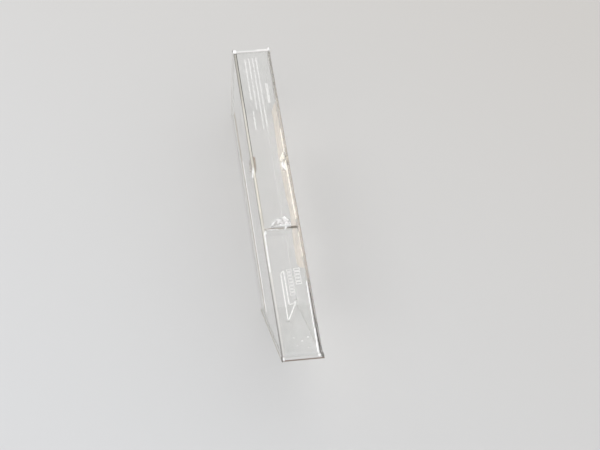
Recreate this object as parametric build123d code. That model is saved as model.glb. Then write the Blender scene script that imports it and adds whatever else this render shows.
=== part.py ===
"""Clear saw-blade guard hood: a long, narrow box of cemented plastic sheet, open underneath.

The hood stands on its two lower edges. +X points to the nose, +Y across the hood, +Z up, and
the origin is at the bottom centre of its bounding box. All sizes are in millimetres.
"""

import os

from build123d import *

# Overall sizes
HOOD_LENGTH = 360.0  # outer face of the rear wall to the tip of the nose
HOOD_HEIGHT = 90.0  # lower edges to the face of the roof
INNER_WIDTH = 30.0  # clear width between the side walls
NOSE_SETBACK = 117.0  # how far the nose's foot stands behind its tip

# Sheet thicknesses
SIDE_SHEET = 2.5
ROOF_SHEET = 2.5
REAR_SHEET = 2.5
NOSE_SHEET = 2.5
END_LIP = 1.0  # how far the end sheets stand proud of the sides and the roof
ARRIS = 0.3  # small bevel on every cut sheet edge

# Roof joint, with the rib under it and the half-round pad on it
JOINT_FROM_REAR = 217.5  # rear face to the joint of the two roof panels
JOINT_GAP = 0.2  # left open between the two panels
RIB_SHEET = 3.0
RIB_DEPTH = 12.0  # how far the rib hangs below the roof
PAD_RADIUS = 9.0
PAD_SHEET = 3.0
PAD_ARRIS = 0.7

# Pivot bushes, one in each side wall
PIVOT_FROM_REAR = 135.0
PIN_RADIUS = 4.0  # the 8 mm pivot pin that the bushes take
PIN_CLEARANCE = 0.05  # radial, between the pin and the bores
BUSH_WALL = 1.95  # bush tube around its bore
BUSH_CLEARANCE = 0.05  # radial, between the tube and its hole in the wall, filled by cement
SHOULDER_RADIUS = 7.5
SHOULDER_THICKNESS = 3.2  # how far each shoulder stands into the hood
SHOULDER_ARRIS = 0.6
SHOULDER_TO_ROOF = 0.5  # clear height between a shoulder and the roof

# Sizes that follow from the ones above
total_height = HOOD_HEIGHT + END_LIP
nose_slope = NOSE_SETBACK / total_height  # run of the nose for each millimetre of height
nose_run = NOSE_SHEET * (1.0 + nose_slope**2) ** 0.5  # nose sheet measured along X
nose_foot = HOOD_LENGTH - NOSE_SETBACK
roof_underside = HOOD_HEIGHT - ROOF_SHEET
inner_half = INNER_WIDTH / 2
outer_half = inner_half + SIDE_SHEET
end_half = outer_half + END_LIP
bore_radius = PIN_RADIUS + PIN_CLEARANCE
tube_radius = bore_radius + BUSH_WALL
hole_radius = tube_radius + BUSH_CLEARANCE
pivot_height = roof_underside - SHOULDER_TO_ROOF - SHOULDER_RADIUS


def nose_inner_x(height):
    """X of the nose sheet's inner face at a height, measured from the rear face."""
    return nose_foot - nose_run + nose_slope * height


def side_profile(points, y_low, y_high):
    """A solid whose outline in the XZ plane is extruded from y_low to y_high."""
    outline = Plane.XZ * make_face(Polyline(*points, close=True))
    return Pos(0, y_high, 0) * extrude(outline, amount=y_high - y_low)


def with_arris(sheet, size=ARRIS):
    """The sheet with every straight edge bevelled."""
    return chamfer(sheet.edges().filter_by(GeomType.LINE), size)


def side_wall(side):
    """One side wall; side is -1 for the left wall and +1 for the right wall."""
    outline = [
        (REAR_SHEET, 0),
        (nose_inner_x(0), 0),
        (nose_inner_x(HOOD_HEIGHT), HOOD_HEIGHT),
        (REAR_SHEET, HOOD_HEIGHT),
    ]
    y_low, y_high = sorted((side * inner_half, side * outer_half))
    wall = with_arris(side_profile(outline, y_low, y_high))
    hole = Cylinder(hole_radius, 3 * SIDE_SHEET, rotation=(90, 0, 0))
    middle = (inner_half + outer_half) / 2
    return wall - Pos(PIVOT_FROM_REAR, side * middle, pivot_height) * hole


def roof_panel_rear():
    """Roof from the rear wall to the joint."""
    end = JOINT_FROM_REAR - JOINT_GAP / 2
    outline = [
        (REAR_SHEET, roof_underside),
        (end, roof_underside),
        (end, HOOD_HEIGHT),
        (REAR_SHEET, HOOD_HEIGHT),
    ]
    return with_arris(side_profile(outline, -inner_half, inner_half))


def roof_panel_front():
    """Roof from the joint to the nose, cut to the nose's slope."""
    start = JOINT_FROM_REAR + JOINT_GAP / 2
    outline = [
        (start, roof_underside),
        (nose_inner_x(roof_underside), roof_underside),
        (nose_inner_x(HOOD_HEIGHT), HOOD_HEIGHT),
        (start, HOOD_HEIGHT),
    ]
    return with_arris(side_profile(outline, -inner_half, inner_half))


def rear_wall():
    """Upright sheet that closes the rear and covers the ends of the side walls and the roof."""
    outline = [(0, 0), (REAR_SHEET, 0), (REAR_SHEET, total_height), (0, total_height)]
    return with_arris(side_profile(outline, -end_half, end_half))


def nose_panel():
    """Sloping sheet that closes the nose, its top and foot cut level and its tip left sharp."""
    outline = [
        (nose_inner_x(0), 0),
        (nose_foot, 0),
        (HOOD_LENGTH, total_height),
        (nose_inner_x(total_height), total_height),
    ]
    sheet = side_profile(outline, -end_half, end_half)
    all_but_tip = sheet.edges().filter_by(GeomType.LINE).sort_by(Axis.X)[:-1]
    return chamfer(all_but_tip, ARRIS)


def cross_rib():
    """Strip on edge across the hood, under the joint of the roof panels."""
    strip = Box(RIB_SHEET, INNER_WIDTH, RIB_DEPTH)
    return with_arris(Pos(JOINT_FROM_REAR, 0, roof_underside - RIB_DEPTH / 2) * strip)


def joint_pad():
    """Half-round pad on the rear panel, its straight side along the joint."""
    disc = Cylinder(PAD_RADIUS, PAD_SHEET)
    front_half = Pos(PAD_RADIUS, 0, 0) * Box(2 * PAD_RADIUS, 3 * PAD_RADIUS, 2 * PAD_SHEET)
    half = disc - front_half
    half = chamfer(half.edges().group_by(Axis.Z)[-1], PAD_ARRIS)
    return Pos(JOINT_FROM_REAR - JOINT_GAP / 2, 0, HOOD_HEIGHT + PAD_SHEET / 2) * half


def pivot_bush(side):
    """Shouldered bush: its tube fills the wall's hole and its shoulder seats on the inner face."""
    tube = Cylinder(tube_radius, SIDE_SHEET)
    shoulder = Cylinder(SHOULDER_RADIUS, SHOULDER_THICKNESS)
    shoulder = chamfer(shoulder.edges().group_by(Axis.Z)[-1], SHOULDER_ARRIS)
    upright = tube + Pos(0, 0, (SIDE_SHEET + SHOULDER_THICKNESS) / 2) * shoulder
    upright -= Cylinder(bore_radius, 4 * (SIDE_SHEET + SHOULDER_THICKNESS))
    lying = Rot(side * 90, 0, 0) * upright
    middle = (inner_half + outer_half) / 2
    return Pos(PIVOT_FROM_REAR, side * middle, pivot_height) * lying


pieces = {
    "side_wall_left": side_wall(-1),
    "side_wall_right": side_wall(1),
    "roof_panel_rear": roof_panel_rear(),
    "roof_panel_front": roof_panel_front(),
    "rear_wall": rear_wall(),
    "nose_panel": nose_panel(),
    "cross_rib": cross_rib(),
    "joint_pad": joint_pad(),
    "pivot_bush_left": pivot_bush(-1),
    "pivot_bush_right": pivot_bush(1),
}

os.makedirs("parts", exist_ok=True)
to_origin = Pos(-HOOD_LENGTH / 2, 0, 0)
for name, piece in pieces.items():
    export_step(to_origin * piece, f"parts/{name}.step")
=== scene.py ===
import math
import random

import bmesh
import bpy
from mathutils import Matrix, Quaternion, Vector, noise


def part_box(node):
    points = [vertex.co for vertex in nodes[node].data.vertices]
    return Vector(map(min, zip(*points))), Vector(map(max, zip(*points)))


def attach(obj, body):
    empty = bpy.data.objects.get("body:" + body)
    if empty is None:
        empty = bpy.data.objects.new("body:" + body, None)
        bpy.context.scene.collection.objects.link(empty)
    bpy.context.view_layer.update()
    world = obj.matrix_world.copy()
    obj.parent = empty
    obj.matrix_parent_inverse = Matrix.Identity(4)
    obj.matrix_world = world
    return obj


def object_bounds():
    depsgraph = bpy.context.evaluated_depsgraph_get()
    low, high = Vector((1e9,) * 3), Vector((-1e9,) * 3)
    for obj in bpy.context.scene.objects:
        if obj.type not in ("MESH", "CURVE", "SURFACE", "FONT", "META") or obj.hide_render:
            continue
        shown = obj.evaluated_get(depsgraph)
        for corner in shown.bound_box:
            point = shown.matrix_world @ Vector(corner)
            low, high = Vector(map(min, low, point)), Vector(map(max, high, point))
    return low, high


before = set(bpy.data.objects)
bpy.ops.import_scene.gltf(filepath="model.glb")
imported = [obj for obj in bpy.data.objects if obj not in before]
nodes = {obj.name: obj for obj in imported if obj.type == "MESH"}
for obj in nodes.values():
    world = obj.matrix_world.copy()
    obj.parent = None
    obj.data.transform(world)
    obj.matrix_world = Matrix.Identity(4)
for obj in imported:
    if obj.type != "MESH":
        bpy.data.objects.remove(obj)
cad_low, cad_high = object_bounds()
scene = bpy.context.scene
mm = 0.001

# ---------------------------------------------------------------- camera
# A long lens beyond the nose and a little to the left of the hood, looking down through the
# roof, so that the side walls are seen almost edge on. Clear sheet needs long light paths.
view_elevation = math.radians(51.89)
view_swing = math.radians(-11.16)
view_roll = math.radians(4.08)
view_distance = 1.717
view_target = Vector((-0.0331, 0.0309, 0.0))

away = Vector((
    math.cos(view_elevation) * math.cos(view_swing),
    math.cos(view_elevation) * math.sin(view_swing),
    math.sin(view_elevation),
))
camera_data = bpy.data.cameras.new("camera")
camera_data.sensor_width = 36.0
camera_data.lens = 108.0
camera = bpy.data.objects.new("camera", camera_data)
scene.collection.objects.link(camera)
camera.location = view_target + away * view_distance
camera.rotation_mode = "QUATERNION"
camera.rotation_quaternion = Quaternion(away, view_roll) @ (-away).to_track_quat("-Z", "Y")
scene.camera = camera
scene.view_settings.view_transform = "Standard"
scene.cycles.max_bounces = 32
scene.cycles.glossy_bounces = 24
scene.cycles.transmission_bounces = 24
scene.cycles.transparent_max_bounces = 48

# ---------------------------------------------------------------- side walls
# Two tall plates of 2.5 mm clear sheet. The left one keeps its pale sawn top edge, the right one
# is flame-polished, and the tones along both top edges are painted light and shade: the dark and
# bright lines along the rims. The roof, the rear wall, the nose and the rib are cemented to them.
rear_x = cad_low.x
wall_low, wall_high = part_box("side_wall_right")
inner_y = wall_low.y
top_z = wall_high.z
nose_setback = 117 * mm
nose_normal = Vector((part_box("nose_panel")[1].z, 0.0, -nose_setback)).normalized()


def socket(group, name, default, way="INPUT"):
    """Adds one named number to a node group, going in or coming out."""
    made = group.interface.new_socket(name=name, in_out=way, socket_type="NodeSocketFloat")
    if default is not None:
        made.default_value = default


def add(tree, kind, links=None, **values):
    """Adds a node to a tree, sets its properties, and links or fills its named inputs."""
    node = tree.nodes.new(kind)
    for key, value in values.items():
        setattr(node, key, value)
    for name, source in (links or {}).items():
        if isinstance(source, bpy.types.NodeSocket):
            tree.links.new(source, node.inputs[name])
        else:
            node.inputs[name].default_value = source
    return node


def place_group(tree, group, **inputs):
    """Places a node group in a material, with this material's own values."""
    node = add(tree, "ShaderNodeGroup", node_tree=group)
    for name, value in inputs.items():
        node.inputs[name.replace("_", " ")].default_value = value
    return node


def coordinate(tree, axis):
    """The distance of a point on the hood along one axis, in metres."""
    place = add(tree, "ShaderNodeTexCoord").outputs["Object"]
    return add(tree, "ShaderNodeSeparateXYZ", {"Vector": place}).outputs[axis]


def off_centre(tree):
    """The distance of a point on the hood from its middle plane, in metres."""
    return add(
        tree, "ShaderNodeMath", {0: coordinate(tree, "Y")}, operation="ABSOLUTE"
    ).outputs[0]


def fade(tree, value, start, end, first=0.0, last=1.0):
    """Goes from the first number to the last as the value goes from start to end."""
    return add(
        tree, "ShaderNodeMapRange",
        {"Value": value, "From Min": start, "From Max": end, "To Min": first, "To Max": last},
    ).outputs["Result"]


def times(tree, first, second):
    """The product of two numbers."""
    return add(tree, "ShaderNodeMath", {0: first, 1: second}, operation="MULTIPLY").outputs[0]


def two_tones(tree, mask, first, second):
    """A colour that goes from the first tone to the second with a mask."""
    ramp = add(tree, "ShaderNodeValToRGB", {"Fac": mask})
    ramp.color_ramp.elements[0].color = (*first, 1.0)
    ramp.color_ramp.elements[1].color = (*second, 1.0)
    return ramp.outputs["Color"]


def new_material(name):
    """A material with its Principled shader, as (material, tree, shader)."""
    made = bpy.data.materials.new(name)
    made.use_nodes = True
    tree = made.node_tree
    return made, tree, tree.nodes["Principled BSDF"]


def handling_group():
    """Fine scratches, finger smears and a slow ripple, as a roughness, a height and a mask."""
    group = bpy.data.node_groups.new("handling_marks", "ShaderNodeTree")
    socket(group, "Base Roughness", 0.02)
    socket(group, "Smears", 0.1)
    socket(group, "Scratches", 0.2)
    socket(group, "Ripple", 1.0)
    socket(group, "Roughness", None, "OUTPUT")
    socket(group, "Height", None, "OUTPUT")
    socket(group, "Smear Mask", None, "OUTPUT")
    inside = add(group, "NodeGroupInput")
    outside = add(group, "NodeGroupOutput")
    place = add(group, "ShaderNodeTexCoord").outputs["Object"]
    smear = add(group, "ShaderNodeTexNoise", {"Vector": place, "Scale": 38.0, "Detail": 6.0})
    patch = fade(group, smear.outputs["Fac"], 0.5, 0.72)
    stretch = add(
        group, "ShaderNodeMapping",
        {"Vector": place, "Scale": (22.0, 900.0, 130.0), "Rotation": (0.05, 0.08, 0.12)},
    )
    streak = add(
        group, "ShaderNodeTexNoise", {"Vector": stretch.outputs["Vector"], "Scale": 1.0, "Detail": 3.0}
    )
    hair = fade(group, streak.outputs["Fac"], 0.66, 0.74)
    slow = add(group, "ShaderNodeTexNoise", {"Vector": place, "Scale": 14.0, "Detail": 1.0})
    smeared = times(group, patch, inside.outputs["Smears"])
    scratched = times(group, hair, inside.outputs["Scratches"])
    marked = add(group, "ShaderNodeMath", {0: smeared, 1: scratched})
    rough = add(group, "ShaderNodeMath", {0: marked.outputs[0], 1: inside.outputs["Base Roughness"]})
    bent = times(group, slow.outputs["Fac"], inside.outputs["Ripple"])
    high = add(group, "ShaderNodeMath", {0: bent, 1: scratched}, operation="SUBTRACT")
    group.links.new(rough.outputs[0], outside.inputs["Roughness"])
    group.links.new(high.outputs[0], outside.inputs["Height"])
    group.links.new(patch, outside.inputs["Smear Mask"])
    return group


handling_marks = handling_group()


def saw_group():
    """The fine upright lines that a saw leaves on a cut edge, and the chalky patches between."""
    group = bpy.data.node_groups.new("saw_marks", "ShaderNodeTree")
    socket(group, "Line Scale", 420.0)
    socket(group, "Smoothest", 0.2)
    socket(group, "Roughest", 0.55)
    socket(group, "Roughness", None, "OUTPUT")
    socket(group, "Height", None, "OUTPUT")
    socket(group, "Chalk", None, "OUTPUT")
    inside = add(group, "NodeGroupInput")
    outside = add(group, "NodeGroupOutput")
    place = add(group, "ShaderNodeTexCoord").outputs["Object"]
    kerf = add(
        group, "ShaderNodeTexWave",
        {"Vector": place, "Scale": inside.outputs["Line Scale"], "Distortion": 6.0, "Detail": 3.0},
        bands_direction="X",
    )
    chalk = add(group, "ShaderNodeTexNoise", {"Vector": place, "Scale": 260.0, "Detail": 5.0})
    rough = fade(
        group, kerf.outputs["Fac"], 0.0, 1.0, inside.outputs["Smoothest"], inside.outputs["Roughest"]
    )
    group.links.new(rough, outside.inputs["Roughness"])
    group.links.new(kerf.outputs["Fac"], outside.inputs["Height"])
    group.links.new(chalk.outputs["Fac"], outside.inputs["Chalk"])
    return group


saw_marks = saw_group()


def froth_group():
    """The small bubbles and white swirls of dried cement, as a mask."""
    group = bpy.data.node_groups.new("cement_froth", "ShaderNodeTree")
    socket(group, "Scale", 500.0)
    socket(group, "Clear Below", 0.5)
    socket(group, "White Above", 0.7)
    socket(group, "Mask", None, "OUTPUT")
    socket(group, "Tone", None, "OUTPUT")
    inside = add(group, "NodeGroupInput")
    outside = add(group, "NodeGroupOutput")
    froth = add(
        group, "ShaderNodeTexNoise",
        {
            "Vector": add(group, "ShaderNodeTexCoord").outputs["Object"],
            "Scale": inside.outputs["Scale"],
            "Detail": 5.0,
            "Distortion": 1.4,
        },
    )
    seen = fade(
        group, froth.outputs["Fac"], inside.outputs["Clear Below"], inside.outputs["White Above"]
    )
    group.links.new(seen, outside.inputs["Mask"])
    group.links.new(froth.outputs["Fac"], outside.inputs["Tone"])
    return group


cement_froth = froth_group()


def let_lamps_through(tree, shader):
    """Lets the lamps reach what is behind the clear plastic, as they do behind the real one."""
    light_kept = (0.97, 0.967, 0.963, 1.0)
    path = add(tree, "ShaderNodeLightPath")
    through = add(tree, "ShaderNodeBsdfTransparent", {"Color": light_kept})
    either = add(tree, "ShaderNodeMixShader", {"Fac": path.outputs["Is Shadow Ray"]})
    tree.links.new(shader.outputs["BSDF"], either.inputs[1])
    tree.links.new(through.outputs["BSDF"], either.inputs[2])
    tree.links.new(either.outputs["Shader"], tree.nodes["Material Output"].inputs["Surface"])


def tones_along(tree, stops):
    """A colour that changes along the hood, from (distance from the rear in mm, colour) stops."""
    share = fade(tree, coordinate(tree, "X"), cad_low.x, cad_high.x)
    ramp = add(tree, "ShaderNodeValToRGB", {"Fac": share})
    length = (cad_high.x - cad_low.x) / mm
    ramp.color_ramp.elements[0].position = stops[0][0] / length
    ramp.color_ramp.elements[0].color = (*stops[0][1], 1.0)
    ramp.color_ramp.elements[1].position = stops[-1][0] / length
    ramp.color_ramp.elements[1].color = (*stops[-1][1], 1.0)
    for distance, colour in stops[1:-1]:
        ramp.color_ramp.elements.new(distance / length).color = (*colour, 1.0)
    return ramp.outputs["Color"]


def edge_tones(tree, inner, outer):
    """The painted light and shade along a wall's top edge, which may differ between its inner and its
    outer half.
    """
    tone = tones_along(tree, inner)
    if outer is None:
        return tone
    inner_half_end = 16.1 * mm
    outer_half_start = 16.6 * mm
    share = fade(tree, off_centre(tree), inner_half_end, outer_half_start)
    blend = add(
        tree, "ShaderNodeMixRGB", {"Fac": share, "Color1": tone, "Color2": tones_along(tree, outer)}
    )
    return blend.outputs["Color"]


def clear_plastic(name, base_roughness, smears, scratches, inner=None, outer=None):
    """Clear sheet with handling marks on its face, and for an edge the painted light and shade along its
    length.
    """
    made, tree, shader = new_material(name)
    marks = place_group(
        tree, handling_marks,
        Base_Roughness=base_roughness, Smears=smears, Scratches=scratches, Ripple=1.0,
    )
    if inner is None:
        tone = two_tones(tree, marks.outputs["Smear Mask"], (0.97, 0.972, 0.968), (0.945, 0.955, 0.945))
    else:
        tone = edge_tones(tree, inner, outer)
    bump = add(
        tree, "ShaderNodeBump", {"Height": marks.outputs["Height"], "Strength": 0.12, "Distance": 0.4 * mm}
    )
    tree.links.new(tone, shader.inputs["Base Color"])
    tree.links.new(marks.outputs["Roughness"], shader.inputs["Roughness"])
    tree.links.new(bump.outputs["Normal"], shader.inputs["Normal"])
    shader.inputs["IOR"].default_value = 1.5
    shader.inputs["Transmission Weight"].default_value = 1.0
    let_lamps_through(tree, shader)
    return made


polished_sheet = clear_plastic("polished_sheet", 0.012, 0.05, 0.12)
# Painted light and shade: along the inner half the tones run from dark at the rear to bright in the middle
# and nearly black at the nose.
right_top_edge = clear_plastic(
    "right_top_edge", 0.05, 0.1, 0.3,
    inner=(
        (0, (0.3, 0.29, 0.26)), (60, (0.35, 0.33, 0.29)), (95, (0.6, 0.54, 0.48)),
        (200, (0.74, 0.66, 0.58)), (265, (0.45, 0.38, 0.33)), (290, (0.12, 0.1, 0.09)),
        (360, (0.03, 0.025, 0.022)),
    ),
    outer=(
        (0, (0.36, 0.35, 0.32)), (60, (0.42, 0.4, 0.36)), (95, (0.64, 0.58, 0.52)),
        (200, (0.78, 0.7, 0.62)), (265, (0.68, 0.6, 0.55)), (290, (0.72, 0.66, 0.62)),
        (360, (0.72, 0.67, 0.64)),
    ),
)


def sawn_surface(tree, shader, saw, tone, clear, depth=0.4):
    """Gives a saw-cut face its tone, saw lines and clearness."""
    bump = add(
        tree, "ShaderNodeBump", {"Height": saw.outputs["Height"], "Strength": depth, "Distance": 0.1 * mm}
    )
    tree.links.new(tone, shader.inputs["Base Color"])
    tree.links.new(saw.outputs["Roughness"], shader.inputs["Roughness"])
    tree.links.new(bump.outputs["Normal"], shader.inputs["Normal"])
    shader.inputs["Transmission Weight"].default_value = clear
    let_lamps_through(tree, shader)


def cut_edge(name, clear, smoothest=0.22, roughest=0.55, chalk=None, inner=None, outer=None):
    """A cut edge partly frosted by the saw, with two chalky tones or with painted light and shade along
    its length.
    """
    made, tree, shader = new_material(name)
    saw = place_group(tree, saw_marks, Smoothest=smoothest, Roughest=roughest)
    if inner is None:
        tone = two_tones(tree, saw.outputs["Chalk"], *chalk)
    else:
        tone = edge_tones(tree, inner, outer)
    shader.inputs["IOR"].default_value = 1.5
    sawn_surface(tree, shader, saw, tone, clear)
    return made


sawn_edge = cut_edge("sawn_edge", 0.55, chalk=((0.74, 0.71, 0.66), (1.0, 0.99, 0.97)))
standing_edge = cut_edge("standing_edge", 0.2, chalk=((0.85, 0.84, 0.8), (1.0, 0.99, 0.96)))
# Painted light and shade: the tones along this sawn top edge draw the rim's dark and bright lines.
left_top_edge = cut_edge(
    "left_top_edge", 0.3,
    inner=(
        (0, (0.5, 0.48, 0.43)), (55, (0.55, 0.53, 0.47)), (75, (0.78, 0.75, 0.68)),
        (200, (0.76, 0.74, 0.66)), (270, (0.82, 0.81, 0.78)), (300, (0.8, 0.79, 0.77)),
        (360, (0.75, 0.74, 0.72)),
    ),
    outer=(
        (0, (0.4, 0.39, 0.35)), (55, (0.44, 0.42, 0.37)), (75, (0.7, 0.68, 0.61)),
        (200, (0.7, 0.68, 0.61)), (270, (0.6, 0.59, 0.56)), (300, (0.42, 0.41, 0.39)),
        (360, (0.34, 0.33, 0.32)),
    ),
)
# Painted shade: the near-black arrises of the left wall draw the dark lines along its rims and its foot.
painted_shade_arris = cut_edge(
    "painted_shade_arris", 0.05, 0.4, 0.7, chalk=((0.03, 0.025, 0.02), (0.12, 0.1, 0.08))
)
# Painted light and shade: along the left wall's inner arris and the roof's left arris the tones run from
# near black at the rear to pale towards the nose.
left_groove = cut_edge(
    "left_groove", 0.1, 0.4, 0.7,
    inner=(
        (0, (0.04, 0.035, 0.03)), (60, (0.05, 0.045, 0.04)), (125, (0.12, 0.11, 0.09)),
        (150, (0.45, 0.42, 0.36)), (210, (0.5, 0.47, 0.41)), (225, (0.8, 0.79, 0.76)),
        (275, (0.75, 0.73, 0.7)), (360, (0.6, 0.58, 0.56)),
    ),
)
# Painted shade: the dark tones along the right wall's inner arris draw the rim's dark line, nearly black
# towards the nose.
painted_shade_right_arris = cut_edge(
    "painted_shade_right_arris", 0.2, 0.4, 0.7,
    inner=(
        (0, (0.28, 0.26, 0.23)), (80, (0.35, 0.32, 0.28)), (150, (0.45, 0.4, 0.34)),
        (260, (0.3, 0.26, 0.22)), (285, (0.06, 0.05, 0.04)), (360, (0.04, 0.035, 0.03)),
    ),
)


def welded(name, scale, clear_below, white_above):
    """A cemented face: the two sheets are one, apart from small white bubbles."""
    made, tree, shader = new_material(name)
    froth = place_group(
        tree, cement_froth, Scale=scale, Clear_Below=clear_below, White_Above=white_above
    )
    tree.links.new(froth.outputs["Mask"], shader.inputs["Alpha"])
    tone = two_tones(tree, froth.outputs["Tone"], (0.85, 0.83, 0.8), (1.0, 1.0, 0.99))
    tree.links.new(tone, shader.inputs["Base Color"])
    shader.inputs["Roughness"].default_value = 0.5
    return made


welded_face = welded("welded_face", 900.0, 0.6, 0.75)


def finish_faces(name, rules):
    """Gives each face of a node the first material whose rule its middle and normal meet."""
    mesh = nodes[name].data
    mesh.materials.clear()
    for material, _ in rules:
        if mesh.materials.find(material.name) < 0:
            mesh.materials.append(material)
    for face in mesh.polygons:
        for material, rule in rules:
            if rule is None or rule(face.center, face.normal):
                face.material_index = mesh.materials.find(material.name)
                break


def is_end(middle, normal):
    """True on the ends that butt against the rear wall and the nose."""
    return normal.x < -0.99 or normal.dot(nose_normal) > 0.99


def is_arris(middle, normal):
    """True on the bevelled long edges of a wall."""
    return 0.6 < abs(normal.y) < 0.8 and abs(normal.z) > 0.6


finish_faces("side_wall_left", [
    (polished_sheet, lambda middle, normal: abs(normal.y) > 0.99),
    (left_top_edge, lambda middle, normal: normal.z > 0.99),
    (standing_edge, lambda middle, normal: normal.z < -0.99),
    (welded_face, is_end),
    (left_groove, lambda middle, normal: is_arris(middle, normal) and normal.y > 0 and normal.z > 0),
    (painted_shade_arris, is_arris),
    (polished_sheet, None),
])
finish_faces("side_wall_right", [
    (polished_sheet, lambda middle, normal: abs(normal.y) > 0.99),
    (right_top_edge, lambda middle, normal: normal.z > 0.99),
    (sawn_edge, lambda middle, normal: normal.z < -0.99),
    (welded_face, is_end),
    (painted_shade_right_arris, lambda middle, normal: is_arris(middle, normal) and normal.y > 0 and normal.z > 0),
    (polished_sheet, None),
])

# ---------------------------------------------------------------- roof
# Two strips of the same sheet let in between the walls, flush with their top edges and butted
# together over the rib. Painted shade darkens the open joint between them towards the right.
joint_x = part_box("roof_panel_rear")[1].x


def joint_edge_material():
    """The sawn ends that meet at the joint, with painted shade that turns them brown towards the right
    wall.
    """
    made, tree, shader = new_material("joint_edge")
    saw = place_group(tree, saw_marks, Smoothest=0.3, Roughest=0.6)
    shaded_right = fade(tree, coordinate(tree, "Y"), 4.5 * mm, 8.5 * mm)
    tone = two_tones(tree, shaded_right, (0.8, 0.76, 0.71), (0.26, 0.23, 0.19))
    sawn_surface(tree, shader, saw, tone, 0.1)
    return made


joint_edge = joint_edge_material()
front_end_x = joint_x + 130 * mm  # beyond this, only the faces that meet the nose
for part in ("rear", "front"):
    finish_faces(f"roof_panel_{part}", [
        (polished_sheet, lambda middle, normal: abs(normal.z) > 0.99),
        (joint_edge, lambda middle, normal: abs(middle.x - joint_x) < mm and abs(normal.x) > 0.5),
        (left_groove, lambda middle, normal: is_arris(middle, normal) and normal.y < 0 and normal.z > 0),
        (welded_face, lambda middle, normal: abs(normal.y) > 0.99 or is_end(middle, normal)),
        (welded_face, lambda middle, normal: middle.x > front_end_x),
        (polished_sheet, None),
    ])

# ---------------------------------------------------------------- rear wall
# A sheet cemented over the rear ends of the walls and the roof, a millimetre proud all round.
# Its top edge was sawn and never polished, and a painted highlight on it makes it the whitest line on the
# hood.


def rear_top_material():
    """The sawn top edge of the rear sheet, frosted, with a painted highlight: white along its inner side
    and whiter towards the right, duller along its outer.
    """
    made, tree, shader = new_material("rear_top_edge")
    saw = place_group(tree, saw_marks, Smoothest=0.35, Roughest=0.6)
    inner = fade(tree, coordinate(tree, "X"), rear_x + 1.5 * mm, rear_x + 1.9 * mm)
    right = fade(tree, coordinate(tree, "Y"), 3.0 * mm, 6.0 * mm, 0.0, 0.55)
    white = add(tree, "ShaderNodeMath", {0: inner, 1: right}, operation="MAXIMUM")
    tone = two_tones(tree, white.outputs[0], (0.66, 0.67, 0.65), (0.96, 0.935, 0.92))
    sawn_surface(tree, shader, saw, tone, 0.05)
    return made


finish_faces("rear_wall", [
    (polished_sheet, lambda middle, normal: abs(normal.x) > 0.99),
    (rear_top_material(), lambda middle, normal: normal.z > 0.6),
    (welded_face, lambda middle, normal: normal.z < -0.6),
    (sawn_edge, None),
])

# ---------------------------------------------------------------- nose
# A sheet that slopes back under the roof's front end. Its top edge is pale where cement wetted it,
# and painted dark brown as shade along the sharp tip.
tip_width = 1.3 * mm


def nose_top_material():
    """The level top edge of the nose, pale behind and painted dark brown as shade along the tip."""
    made, tree, shader = new_material("nose_top_edge")
    saw = place_group(tree, saw_marks, Smoothest=0.25, Roughest=0.5)
    tip_shade_from = cad_high.x - tip_width
    tip_shade = fade(tree, coordinate(tree, "X"), tip_shade_from - 0.3 * mm, tip_shade_from)
    tone = two_tones(tree, tip_shade, (0.64, 0.635, 0.63), (0.2, 0.15, 0.12))
    sawn_surface(tree, shader, saw, tone, 0.3, depth=0.3)
    return made


def nose_face_material():
    """The outer sloping face: clear sheet, wetted by cement near the roof until it hardly shows."""
    made = clear_plastic("nose_face", 0.012, 0.05, 0.12)
    tree = made.node_tree
    full_below = cad_high.z - 14 * mm
    faint_above = cad_high.z - 9 * mm
    shown = fade(tree, coordinate(tree, "Z"), full_below, faint_above, 1.0, 0.12)
    tree.links.new(shown, tree.nodes["Principled BSDF"].inputs["Alpha"])
    return made


# Painted shade: the nose's sawn side edges are toned darker than the other sawn edges, for the dark lines
# along its slope.
nose_side_edge = cut_edge("nose_side_edge", 0.35, chalk=((0.42, 0.4, 0.36), (0.7, 0.67, 0.62)))
finish_faces("nose_panel", [
    (polished_sheet, lambda middle, normal: abs(normal.y) < 0.2 and 0 < normal.z < 0.9),
    (nose_top_material(), lambda middle, normal: normal.z > 0.99),
    (nose_face_material(), lambda middle, normal: abs(normal.y) < 0.2 and normal.z < 0),
    (nose_side_edge, None),
])

# ---------------------------------------------------------------- cross rib
# A strip on edge under the roof's joint, cemented to the roof above it and to both walls, with
# its free lower edge polished.


def rib_material():
    """The rib's polished faces, wetted so well by the cement that they hardly show."""
    made, tree, shader = new_material("rib_sheet")
    marks = place_group(
        tree, handling_marks, Base_Roughness=0.05, Smears=0.1, Scratches=0.2, Ripple=1.0
    )
    seen = fade(tree, marks.outputs["Smear Mask"], 0.0, 1.0, 0.08, 0.16)
    tone = two_tones(tree, marks.outputs["Smear Mask"], (0.97, 0.97, 0.965), (0.9, 0.9, 0.89))
    tree.links.new(seen, shader.inputs["Alpha"])
    tree.links.new(tone, shader.inputs["Base Color"])
    tree.links.new(marks.outputs["Roughness"], shader.inputs["Roughness"])
    shader.inputs["Transmission Weight"].default_value = 1.0
    return made


finish_faces("cross_rib", [
    (welded_face, lambda middle, normal: normal.z > 0.9 or abs(normal.y) > 0.9),
    (rib_material(), None),
])

# ---------------------------------------------------------------- joint pad
# A half-round offcut cemented on the roof at the joint. Its rim is frosted, and the cement
# under it dried in white swirls, thickest to the right.
swirled_cement = welded("swirled_cement", 190.0, 0.36, 0.56)


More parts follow.
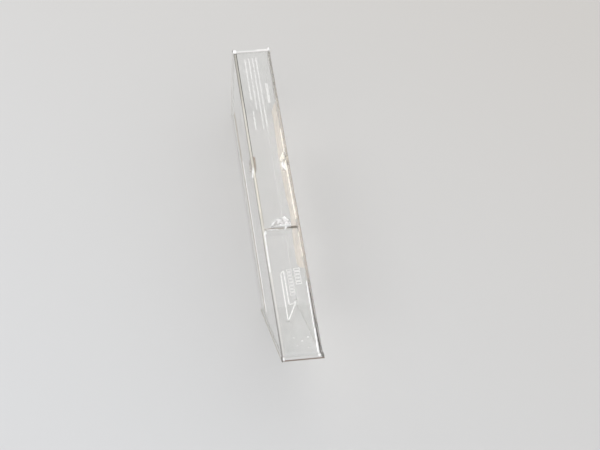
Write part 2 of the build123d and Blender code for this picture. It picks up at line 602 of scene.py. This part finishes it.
def pad_rim_material():
    """The pad's turned rim, milky, and whiter towards the right."""
    made, tree, shader = new_material("pad_rim")
    saw = place_group(tree, saw_marks, Smoothest=0.25, Roughest=0.5)
    whiter = fade(tree, coordinate(tree, "Y"), -8 * mm, 4 * mm, 0.3, 0.95)
    tone = two_tones(tree, saw.outputs["Chalk"], (0.9, 0.92, 0.9), (1.0, 1.0, 1.0))
    tree.links.new(tone, shader.inputs["Base Color"])
    tree.links.new(whiter, shader.inputs["Alpha"])
    tree.links.new(saw.outputs["Roughness"], shader.inputs["Roughness"])
    return made


def pad_top_material():
    """The pad's face, milky from the cement beneath, more so towards the right."""
    made, tree, shader = new_material("pad_top")
    froth = place_group(tree, cement_froth, Scale=240.0, Clear_Below=0.3, White_Above=0.62)
    milk = fade(tree, coordinate(tree, "Y"), -8 * mm, 3 * mm, 0.15, 0.75)
    tone = two_tones(tree, froth.outputs["Tone"], (0.94, 0.9, 0.88), (1.0, 0.99, 0.98))
    tree.links.new(times(tree, milk, froth.outputs["Mask"]), shader.inputs["Alpha"])
    tree.links.new(tone, shader.inputs["Base Color"])
    shader.inputs["Roughness"].default_value = 0.15
    return made


finish_faces("joint_pad", [
    (pad_top_material(), lambda middle, normal: normal.z > 0.9),
    (swirled_cement, lambda middle, normal: normal.z < -0.9),
    (pad_rim_material(), None),
])

# ---------------------------------------------------------------- pivot bushes
# Turned bushes of milky moulded plastic, one in each wall, with a shoulder inside the hood.
# The left one is painted brown as shade and the right one painted pale as a highlight.
bush_low, bush_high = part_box("pivot_bush_right")
bush_middle = (bush_low + bush_high) / 2


def bush_material(name, front, back, clear, seen_from, seen_to):
    """Milky moulding, in two tones front and back, that shows between two distances from the middle."""
    made, tree, shader = new_material(name)
    marks = place_group(
        tree, handling_marks, Base_Roughness=0.12, Smears=0.15, Scratches=0.2, Ripple=1.5
    )
    froth = place_group(tree, cement_froth, Scale=420.0, Clear_Below=0.35, White_Above=0.6)
    half = fade(tree, coordinate(tree, "X"), bush_middle.x - 2 * mm, bush_middle.x + 2 * mm)
    mixed = times(tree, half, froth.outputs["Mask"])
    bump = add(
        tree, "ShaderNodeBump", {"Height": marks.outputs["Height"], "Strength": 0.2, "Distance": 0.3 * mm}
    )
    soft = 0.3
    shown = fade(tree, off_centre(tree), seen_from * mm, (seen_from + soft) * mm, 0.1, 1.0)
    hidden = fade(tree, off_centre(tree), seen_to * mm, (seen_to + soft) * mm, 1.0, 0.1)
    tree.links.new(times(tree, shown, hidden), shader.inputs["Alpha"])
    tree.links.new(two_tones(tree, mixed, back, front), shader.inputs["Base Color"])
    tree.links.new(marks.outputs["Roughness"], shader.inputs["Roughness"])
    tree.links.new(bump.outputs["Normal"], shader.inputs["Normal"])
    shader.inputs["Transmission Weight"].default_value = clear
    let_lamps_through(tree, shader)
    return made


# Lit and shaded copies of one plastic: painted shade on the left bush, a painted highlight on the right.
bush_finish = {
    "left": bush_material("left_bush_shaded", (0.5, 0.42, 0.36), (0.4, 0.31, 0.25), 0.1, 12.7, 14.7),
    "right": bush_material("right_bush_lit", (1.0, 0.97, 0.94), (1.0, 0.97, 0.88), 0.15, 11.0, 18.0),
}
touching = 0.01 * mm
for side in ("left", "right"):
    finish_faces(f"pivot_bush_{side}", [
        (
            welded_face,
            lambda middle, normal: abs(normal.y) > 0.9 and abs(abs(middle.y) - inner_y) < touching,
        ),
        (bush_finish[side], None),
    ])

# ---------------------------------------------------------------- cement
# Solvent cement dried where it squeezed out: beads along the roof's edges, whose white and cream
# also paint the bright line of light inside the rims, splashes at the bushes, strokes over the pad
# and drops at the corners, with grey painted shade beside them. A thin yellowish haze down the right
# wall is a painted warm reflection. Painted shade lies in the right part of the roof's joint and as a
# line along the left wall, with a fine painted highlight above it. Dirt lies in the joint's left part.


def frothy_material(name, dark, pale):
    """A glossy, frothy finish between two tones, for dried cement and dirt, and for painted highlights and
    shade.
    """
    made, tree, shader = new_material(name)
    froth = place_group(tree, cement_froth, Scale=650.0, Clear_Below=0.3, White_Above=0.6)
    bump = add(
        tree, "ShaderNodeBump", {"Height": froth.outputs["Tone"], "Strength": 0.3, "Distance": 0.2 * mm}
    )
    tree.links.new(two_tones(tree, froth.outputs["Mask"], dark, pale), shader.inputs["Base Color"])
    tree.links.new(bump.outputs["Normal"], shader.inputs["Normal"])
    shader.inputs["Roughness"].default_value = 0.3
    return made


# White and cream are cement that also paints the bright line inside the rims; grey is painted shade; tan
# is dirt, and painted shade along the left wall.
white_cement_and_glint = frothy_material("white_cement_and_glint", (0.95, 0.94, 0.93), (1.0, 1.0, 1.0))
cream_cement_and_glint = frothy_material("cream_cement_and_glint", (0.97, 0.88, 0.76), (1.0, 0.97, 0.88))
grey_shade = frothy_material("grey_shade", (0.12, 0.115, 0.11), (0.22, 0.215, 0.2))
# Painted shade: brown for the right part of the roof's joint.
brown_shade = frothy_material("brown_shade", (0.26, 0.23, 0.2), (0.4, 0.36, 0.31))
tan_dirt_and_shade = frothy_material("tan_dirt_and_shade", (0.36, 0.32, 0.28), (0.46, 0.42, 0.37))


def own_piece(name, mesh, material):
    """Links a finished mesh as a piece that rides on the hood."""
    for face in mesh.polygons:
        face.use_smooth = True
    mesh.materials.append(material)
    piece = bpy.data.objects.new(name, mesh)
    scene.collection.objects.link(piece)
    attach(piece, "root")


def tube_run(name, material, radius, squash, *points):
    """A run through points (from rear, across, height in mm), uneven and tapered: cement, and painted
    highlight and shade lines.
    """
    around = 8
    spacing = 1.2
    knots = [Vector(point) for point in points]
    path = []
    for index in range(len(knots) - 1):
        before = knots[max(index - 1, 0)]
        start, end = knots[index], knots[index + 1]
        after = knots[min(index + 2, len(knots) - 1)]
        steps = max(3, int((end - start).length / spacing))
        for step in range(steps):
            t = step / steps
            path.append(0.5 * (
                2 * start + (end - before) * t + (2 * before - 5 * start + 4 * end - after) * t * t
                + (3 * start - before - 3 * end + after) * t * t * t
            ))
    path.append(knots[-1])
    shape = bmesh.new()
    rings = []
    for index, centre in enumerate(path):
        ahead = path[min(index + 1, len(path) - 1)] - path[max(index - 1, 0)]
        aside = Vector((-ahead.y, ahead.x, 0.0)).normalized()
        taper = min(1.0, 0.25 + 0.75 * min(index, len(path) - 1 - index) / 3)
        swell = 1.0 + 0.45 * noise.noise(centre * 0.35) + 0.2 * noise.noise(centre * 1.3)
        ring = []
        for corner in range(around):
            turn = 2 * math.pi * corner / around
            size = radius * taper * swell
            spot = centre + aside * math.cos(turn) * size + Vector((0, 0, math.sin(turn) * size * squash))
            ring.append(shape.verts.new((rear_x + spot.x * mm, spot.y * mm, spot.z * mm)))
        rings.append(ring)
    for first, second in zip(rings, rings[1:]):
        for corner in range(around):
            after = (corner + 1) % around
            shape.faces.new((first[corner], first[after], second[after], second[corner]))
    shape.faces.new(rings[0][::-1])
    shape.faces.new(rings[-1])
    bmesh.ops.recalc_face_normals(shape, faces=shape.faces)
    mesh = bpy.data.meshes.new(name)
    shape.to_mesh(mesh)
    shape.free()
    own_piece(name, mesh, material)


def lump_drop(name, centre, half_sizes, material):
    """A lumpy drop about a centre (from rear, across, height in mm): cement, specks, and painted shade
    smears.
    """
    shape = bmesh.new()
    bmesh.ops.create_icosphere(shape, subdivisions=3, radius=1.0)
    for vert in shape.verts:
        lump = 1.0 + 0.28 * noise.noise(vert.co * 1.7 + Vector(centre))
        spot = Vector(centre) + vert.co * Vector(half_sizes) * lump
        vert.co = Vector((rear_x + spot.x * mm, spot.y * mm, spot.z * mm))
    mesh = bpy.data.meshes.new(name)
    shape.to_mesh(mesh)
    shape.free()
    own_piece(name, mesh, material)


for name, material, radius, squash, *points in (
    # The beads along the roof's edges are cement whose white and cream paint the bright line of light
    # inside the rims.
    ("bead_right_rear", cream_cement_and_glint, 0.6, 0.45, (101, 14.7, 90), (118, 14.6, 90), (131, 14.4, 90)),
    ("bead_right_middle", cream_cement_and_glint, 0.72, 0.45, (139, 14.2, 90), (170, 14.4, 90), (209, 14.7, 90)),
    ("bead_right_joint", cream_cement_and_glint, 0.22, 0.5, (222, 14.7, 90), (236, 14.8, 90), (252, 14.8, 90)),
    ("bead_right_front", white_cement_and_glint, 0.52, 0.45, (277, 14.3, 90), (300, 14.1, 90), (328, 13.9, 90)),
    ("bead_right_nose", white_cement_and_glint, 0.85, 0.4, (327, 14.2, 90), (340, 14, 90), (354, 13.8, 90)),
    ("bead_left_middle", cream_cement_and_glint, 0.22, 0.5, (148, -15.7, 90), (170, -15.8, 90), (200, -15.9, 90)),
    ("bead_left_bush", white_cement_and_glint, 1, 0.5, (146, -16.2, 90), (150, -16.7, 90), (154, -17.2, 90)),
    ("bead_left_splash", white_cement_and_glint, 0.7, 0.5, (153, -17.3, 90), (156, -17.9, 90), (158.5, -17.6, 90)),
    ("splash_bush_rear", cream_cement_and_glint, 1, 0.45,
     (130, 13.4, 90), (134, 12.2, 90), (138, 10.4, 90), (141, 10.4, 90)),
    ("splash_bush_inner", cream_cement_and_glint, 1.1, 0.45,
     (133, 13.2, 90.1), (137, 12.8, 90.1), (140, 12.6, 90.1)),
    ("splash_bush_front", white_cement_and_glint, 1.15, 0.45,
     (141.5, 11.2, 90), (145, 11, 90), (148, 12, 90), (152, 13.4, 90)),
    ("splash_bush_outer", white_cement_and_glint, 0.9, 0.45,
     (142.5, 13, 90.1), (145.5, 13.2, 90.1), (148.5, 13, 90.1)),
    ("splash_bush_spot", tan_dirt_and_shade, 0.7, 0.4, (139, 12.8, 90.4), (140, 13.1, 90.4), (141.2, 13.4, 90.4)),
    ("bead_left_front", white_cement_and_glint, 0.6, 0.45, (220, -15.3, 90), (240, -15.6, 90), (266, -15.9, 90)),
    ("bead_joint_left", white_cement_and_glint, 0.5, 0.5,
     (218.3, -13.6, 90), (218.9, -9, 90), (219.2, -4, 90), (220.2, -1.6, 90)),
    ("drop_joint_left", white_cement_and_glint, 0.7, 0.5, (219.5, -14, 90), (221.5, -14.1, 90), (223.5, -14.2, 90)),
    ("stroke_joint_left", white_cement_and_glint, 0.55, 0.5,
     (216.6, -8.6, 90.3), (216.5, -7, 90.3), (216.4, -5.2, 90.3)),
    ("stroke_pad_start", white_cement_and_glint, 0.5, 0.5,
     (215.6, -9, 90.6), (214.6, -8, 90.6), (213.2, -8.4, 90.6)),
    ("stroke_pad_left", white_cement_and_glint, 0.9, 0.5,
     (214.8, -7.4, 90.8), (212.4, -6.2, 90.8), (210.6, -5, 90.8)),
    ("stroke_pad_outer", white_cement_and_glint, 0.45, 0.5,
     (211, -5.4, 90.8), (209.4, -3, 90.8), (208.3, -0.6, 90.8)),
    ("stroke_pad_inner", white_cement_and_glint, 1.5, 0.5,
     (213.4, -2.4, 90.8), (211, -1.2, 90.8), (209.4, 0.6, 90.8), (208.6, 3, 90.8)),
    ("stroke_pad_top", white_cement_and_glint, 1.4, 0.5, (207.4, 2.6, 91.2), (207, 4.4, 91.2), (208.4, 6, 91.2)),
    ("stroke_pad_right", white_cement_and_glint, 2.1, 0.5,
     (207.6, 4.8, 91.2), (210.4, 5.4, 91.2), (213.6, 5.8, 91.2)),
    ("stroke_pad_corner", white_cement_and_glint, 1.8, 0.5,
     (213.4, 5.4, 91.3), (214.6, 6.8, 91.3), (216, 7.4, 91.3)),
    ("stroke_pad_lower", white_cement_and_glint, 1.6, 0.5,
     (215.4, 5.8, 91.2), (217.4, 4.6, 91.1), (220, 3.2, 90.6)),
    ("stroke_pad_middle", white_cement_and_glint, 0.7, 0.5,
     (214.6, -1.6, 90.6), (214.2, 1.4, 90.6), (214.8, 3.8, 90.6)),
    ("stroke_pad_fill", white_cement_and_glint, 1.1, 0.5,
     (215.6, -3.6, 90.4), (215.8, 0, 90.4), (216.2, 3.4, 90.4)),
    ("stroke_pad_heart", white_cement_and_glint, 1, 0.5,
     (211.8, -0.4, 90.5), (212.2, 1.4, 90.5), (212.6, 3.6, 90.5)),
    ("stroke_pad_cross", white_cement_and_glint, 0.6, 0.5,
     (211.6, 2.4, 90.8), (213.4, 1.2, 90.8), (215, 1.6, 90.8)),
    # Painted shade: a brown run in the right part of the roof's joint, where the rib darkens it.
    ("shade_joint_right", brown_shade, 0.8, 0.4, (216.9, 8.8, 90), (216.7, 11, 90), (216.5, 13.8, 90)),
    ("dirt_joint_left", tan_dirt_and_shade, 0.35, 0.4, (217.3, -12, 90), (217.2, -6, 90), (216.8, 1, 90)),
    # Painted shade: a tan line along the left wall's outer face, where its foot shows dark.
    ("shade_left_wall_rear", tan_dirt_and_shade, 0.42, 0.4, (18, -17.6, 22.5), (50, -17.6, 22.5), (84, -17.6, 22.5)),
    ("shade_left_wall_front", tan_dirt_and_shade, 0.28, 0.4, (84, -17.6, 22.5), (160, -17.6, 22.5), (258, -17.6, 22.5)),
    # Painted highlight: a fine white line along the left wall's outer face.
    ("glint_left_wall", white_cement_and_glint, 0.18, 0.8,
     (87, -17.6, 30.5), (170, -17.6, 30.5), (266, -17.6, 30.5)),
):
    tube_run(name, material, radius, squash, *points)
for name, material, centre, half_sizes in (
    ("drop_rear_left", white_cement_and_glint, (1.8, -16.2, 91.2), (2.2, 1.9, 0.9)),
    ("drop_rear_right", white_cement_and_glint, (1.6, 16.4, 91.6), (2.2, 0.9, 1.4)),
    ("drop_nose_left", white_cement_and_glint, (357.6, -16.4, 91.0), (1.9, 0.8, 0.7)),
    ("drop_nose_right", white_cement_and_glint, (356.3, 14.4, 91.0), (1.5, 1.2, 0.6)),
    # Painted shade: grey smears beside the nose corners and the rear left corner.
    ("shade_nose_left", grey_shade, (357.4, -17.9, 91.0), (3.0, 0.7, 0.5)),
    ("shade_nose_right", grey_shade, (356.2, 17.0, 91.0), (2.6, 1.2, 0.5)),
    ("shade_rear_left", grey_shade, (1.0, -18.2, 91.0), (1.6, 0.5, 0.5)),
):
    lump_drop(name, centre, half_sizes, material)


def painted_haze_material():
    """A painted warm reflection down the right wall, yellowish, patchy and half seen."""
    made, tree, shader = new_material("painted_warm_haze")
    froth = place_group(tree, cement_froth, Scale=60.0, Clear_Below=0.2, White_Above=0.7)
    tree.links.new(fade(tree, froth.outputs["Mask"], 0.0, 1.0, 0.22, 0.5), shader.inputs["Alpha"])
    tone = two_tones(tree, froth.outputs["Tone"], (0.98, 0.83, 0.68), (1.0, 0.9, 0.78))
    tree.links.new(tone, shader.inputs["Base Color"])
    shader.inputs["Roughness"].default_value = 0.6
    return made


haze_top = 87.2
haze_outline = [
    (66, haze_top), (56, 70), (48, 52), (93, 45.5), (123, 45), (150, 50), (177, 57), (196, 47),
    (226, 44), (243, 62), (262, haze_top),
]
haze_gap = 0.06 * mm
haze_steps = 10
haze = bmesh.new()
haze_corners = []
for index, (x, z) in enumerate(haze_outline):
    next_x, next_z = haze_outline[(index + 1) % len(haze_outline)]
    for step in range(haze_steps):
        share = step / haze_steps
        place = Vector((x + (next_x - x) * share, 0.0, z + (next_z - z) * share))
        wander = 2.2 * noise.noise(place * 0.11) + 1.1 * noise.noise(place * 0.5)
        along_top = place.z > haze_top - 0.2
        height = haze_top if along_top else min(haze_top, place.z + wander)
        haze_corners.append(haze.verts.new((
            rear_x + (place.x + wander) * mm, inner_y - haze_gap, height * mm
        )))
haze.faces.new(haze_corners)
bmesh.ops.triangulate(haze, faces=haze.faces)
haze_mesh = bpy.data.meshes.new("painted_haze_right_wall")
haze.to_mesh(haze_mesh)
haze.free()
own_piece("painted_haze_right_wall", haze_mesh, painted_haze_material())

# ---------------------------------------------------------------- printed marks
# White ink on the roof: a block of plain rules at the rear and a half arrow towards the nose,
# with two rows of plain boxes beside it. It has worn thin in places.
ink_z = top_z + 0.05 * mm
ink = random.Random(7)


def ink_material(name, thinnest, thickest):
    """Matt white ink, worn through in specks."""
    made, tree, shader = new_material(name)
    froth = place_group(tree, cement_froth, Scale=700.0, Clear_Below=0.3, White_Above=0.5)
    left = fade(tree, froth.outputs["Mask"], 0.0, 1.0, thinnest, thickest)
    tone = two_tones(tree, froth.outputs["Tone"], (0.84, 0.83, 0.8), (0.98, 0.98, 0.97))
    tree.links.new(tone, shader.inputs["Base Color"])
    tree.links.new(left, shader.inputs["Alpha"])
    shader.inputs["Roughness"].default_value = 0.7
    return made


thin_ink = ink_material("thin_white_ink", 0.24, 0.64)
white_ink = ink_material("white_ink", 0.68, 1.0)


def print_piece(name, outlines, material):
    """One printed piece from flat outlines, each a list of (from rear, across) in millimetres."""
    shape = bmesh.new()
    for outline in outlines:
        corners = [shape.verts.new((rear_x + x * mm, y * mm, ink_z)) for x, y in outline]
        shape.faces.new(corners)
    shape.normal_update()
    for face in shape.faces:
        if face.normal.z < 0:
            face.normal_flip()
    mesh = bpy.data.meshes.new(name)
    shape.to_mesh(mesh)
    shape.free()
    own_piece(name, mesh, material)


def stroke(start, end, width):
    """The outline of one straight stroke with square ends."""
    a, b = Vector(start), Vector(end)
    along = (b - a).normalized() * width / 2
    out = Vector((-along.y, along.x))
    return [
        tuple(a - along + out), tuple(a - along - out), tuple(b + along - out), tuple(b + along + out),
    ]


def dashes(start, end, across, height):
    """A rule broken into dashes of uneven length."""
    made = []
    x = start
    while x < end - 1.0:
        length = min(ink.uniform(3.0, 9.5), end - x)
        made.append(stroke((x, across), (x + length, across), height))
        x += length + ink.uniform(1.6, 2.4)
    return made


rule_height = 1.2
rules = []
for start, end, across in (
    (10.5, 98.5, 3.1), (11.0, 99.5, -0.3), (11.4, 75.6, -3.9), (12.0, 64.6, -7.7), (78.4, 100.4, -7.7),
):
    rules += dashes(start, end, across, rule_height)
print_piece("printed_rules", rules, thin_ink)
print_piece("printed_heading", dashes(45.0, 67.5, 8.8, 2.4), thin_ink)

arrow_corners = [
    (264.6, -4.2), (301.7, -4.0), (300.3, 0.0), (296.9, 3.1), (318.7, -7.2), (268.1, -7.0),
]
arrow_sides = zip(arrow_corners, arrow_corners[1:] + arrow_corners[:1])
print_piece("printed_arrow", [stroke(a, b, 0.95) for a, b in arrow_sides], white_ink)


def boxes(start, end, across, height):
    """A row of small outlined boxes."""
    pitch = 3.6
    made = []
    x = start
    while x + pitch <= end + 0.01:
        low, high = across - height / 2, across + height / 2
        left, right = x, x + pitch * 0.72
        for a, b in (
            ((left, low), (right, low)), ((right, low), (right, high)),
            ((right, high), (left, high)), ((left, high), (left, low)),
        ):
            made.append(stroke(a, b, 0.55))
        x += pitch
    return made


box_rows = boxes(263.3, 281.3, 7.4, 4.8) + boxes(263.9, 292.7, 0.6, 4.0)
print_piece("printed_boxes", box_rows, white_ink)

# ---------------------------------------------------------------- specks
# Crumbs of dried cement and saw dust stuck on the roof near the nose and on the left wall near
# its foot.
roof_height = 90.1
left_wall_across = -17.55
for index, (x, y, half) in enumerate((
    (336.5, 7.3, 0.6875), (340.0, 1.7, 0.5625), (336.2, -4.7, 0.5), (344.5, -3.0, 0.3125),
    (331.0, 9.5, 0.3125), (347.0, 6.0, 0.3125), (329.0, -1.0, 0.25),
)):
    lump_drop(f"speck_roof_{index + 1}", (x, y, roof_height), (half, half, 0.25), white_cement_and_glint)
for index, (x, z) in enumerate((
    (232.0, 21.0), (238.5, 24.0), (246.0, 22.5), (253.0, 27.0), (262.0, 31.0),
)):
    lump_drop(f"speck_left_wall_{index + 1}", (x, left_wall_across, z), (0.7, 0.12, 0.5), white_cement_and_glint)

# ---------------------------------------------------------------- table
# A plain pale table top, a hair below the hood's lower edges. Its tone drifts a little, from
# paler and cooler at the front left to duller and warmer at the rear right: painted light.
table_half = 4.0
table_drop = 0.3 * mm


def table_material():
    """Pale smooth laminate with a very faint mottle and a slow drift of tone that is painted light."""
    made, tree, shader = new_material("pale_table")
    place = add(tree, "ShaderNodeTexCoord").outputs["Object"]
    # Painted light: paler towards the front left, duller towards the rear right.
    drift = add(
        tree, "ShaderNodeMath", {0: coordinate(tree, "X"), 1: coordinate(tree, "Y")},
        operation="SUBTRACT",
    )
    mottle = add(tree, "ShaderNodeTexNoise", {"Vector": place, "Scale": 7.0, "Detail": 4.0})
    spread = times(tree, mottle.outputs["Fac"], 0.06)
    put = add(tree, "ShaderNodeMath", {0: drift.outputs[0], 1: spread})
    tone = two_tones(
        tree, fade(tree, put.outputs[0], -0.6, 0.42), (0.58, 0.564, 0.54), (0.618, 0.623, 0.628)
    )
    tree.links.new(tone, shader.inputs["Base Color"])
    shader.inputs["Roughness"].default_value = 0.65
    return made


table_mesh = bpy.data.meshes.new("table_top")
table_corners = [
    (x * table_half, y * table_half, -table_drop) for x, y in ((-1, -1), (1, -1), (1, 1), (-1, 1))
]
table_mesh.from_pydata(table_corners, [], [(0, 1, 2, 3)])
table_mesh.materials.append(table_material())
table_top = bpy.data.objects.new("table_top", table_mesh)
scene.collection.objects.link(table_top)

# ---------------------------------------------------------------- light
# A pale room, warmer and darker towards its skirting, and one large soft box up on the left,
# turned towards the hood.
room = bpy.data.worlds.new("room")
scene.world = room
room.use_nodes = True
air = room.node_tree
direction = add(air, "ShaderNodeTexCoord")
parts = add(air, "ShaderNodeSeparateXYZ", {"Vector": direction.outputs["Generated"]})
wall = add(air, "ShaderNodeValToRGB", {"Fac": parts.outputs["Z"]})
wall.color_ramp.elements[0].position = 0.0
wall.color_ramp.elements[0].color = (0.16, 0.115, 0.085, 1.0)
wall.color_ramp.elements[1].position = 0.42
wall.color_ramp.elements[1].color = (0.955, 0.96, 0.97, 1.0)
air.links.new(wall.outputs["Color"], air.nodes["Background"].inputs["Color"])
air.nodes["Background"].inputs["Strength"].default_value = 1.005

soft_box_place = Vector((-0.4, -1.7, 2.3))
soft_box_data = bpy.data.lights.new("soft_box", "AREA")
soft_box_data.shape = "SQUARE"
soft_box_data.size = 1.5
soft_box_data.energy = 23.0
soft_box_data.color = (1.0, 0.99, 0.985)
soft_box = bpy.data.objects.new("soft_box", soft_box_data)
scene.collection.objects.link(soft_box)
soft_box.location = soft_box_place
soft_box.rotation_mode = "QUATERNION"
soft_box.rotation_quaternion = (-soft_box_place).to_track_quat("-Z", "Y")
